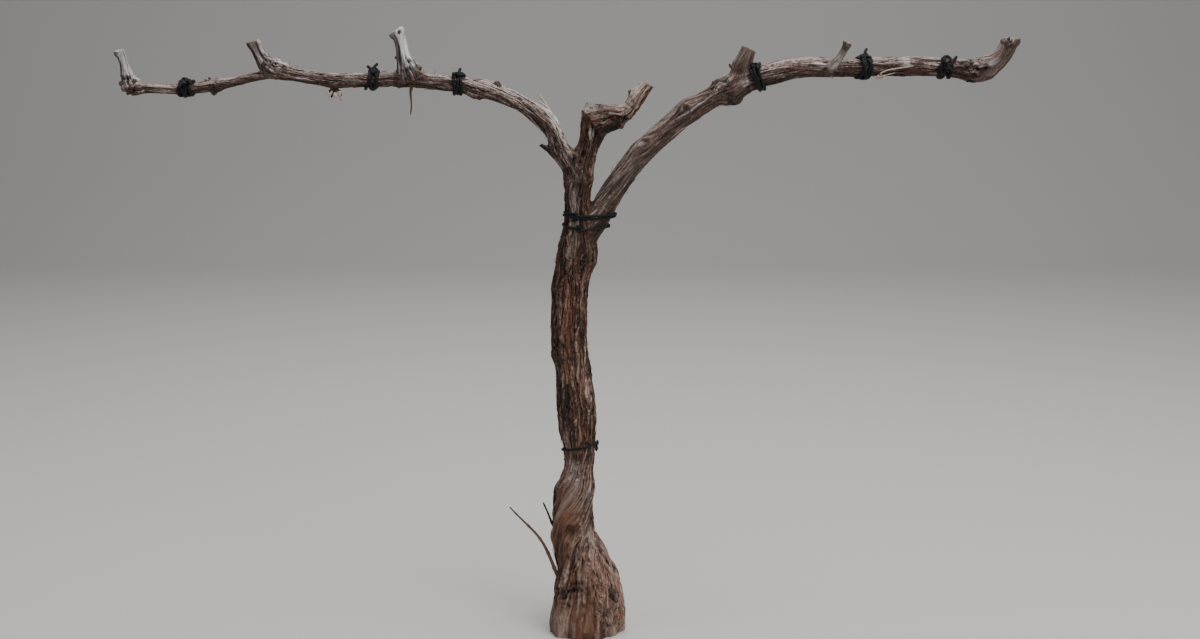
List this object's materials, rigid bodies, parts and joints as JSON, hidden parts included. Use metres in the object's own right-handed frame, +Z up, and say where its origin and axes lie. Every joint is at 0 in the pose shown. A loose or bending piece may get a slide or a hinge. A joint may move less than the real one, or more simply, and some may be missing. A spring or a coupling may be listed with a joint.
{
  "type": "grapevine",
  "caption": "Bare pruned grapevine: a gnarled trunk with a flared foot forks into two level arms with short cut spurs, held by soft black ties.",
  "frame": {"origin": "ground level, in the middle of the flat cut under the trunk", "axes": "+Z up, +X along the row of vines to the viewer's right, +Y away from the viewer"},
  "size_m": [1.1129, 0.0936, 0.7837],
  "materials": {
    "old_bark": "rough",
    "arm_bark": "rough",
    "spur_wood": "matte",
    "shoot_bark": "matte",
    "tie": "matte"
  },
  "bodies": {
    "root": {"trunk": "old_bark", "head_stub": "old_bark", "head_branch": "old_bark", "fork_snag": "old_bark", "right_arm": "arm_bark", "right_cordon": "arm_bark", "left_arm": "arm_bark", "left_inner_cordon": "arm_bark", "left_outer_cordon": "arm_bark", "left_end_spur_base": "arm_bark", "right_end_spur": "spur_wood", "right_shoulder_spur": "spur_wood", "left_end_spur_tip": "spur_wood", "left_inner_spur": "spur_wood", "left_outer_spur": "spur_wood", "head_spur": "spur_wood", "right_thin_spur": "shoot_bark", "fruit_stalk_stub": "shoot_bark", "tendril_stub": "shoot_bark", "foot_shoot_long": "shoot_bark", "foot_shoot_short": "shoot_bark", "tie_trunk_low": "tie", "tie_trunk_middle": "tie", "tie_trunk_high": "tie", "tie_left_outer": "tie", "tie_left_middle": "tie", "tie_left_inner": "tie", "tie_right_shoulder": "tie", "tie_right_middle": "tie", "tie_right_outer": "tie"}
  },
  "joints": []
}
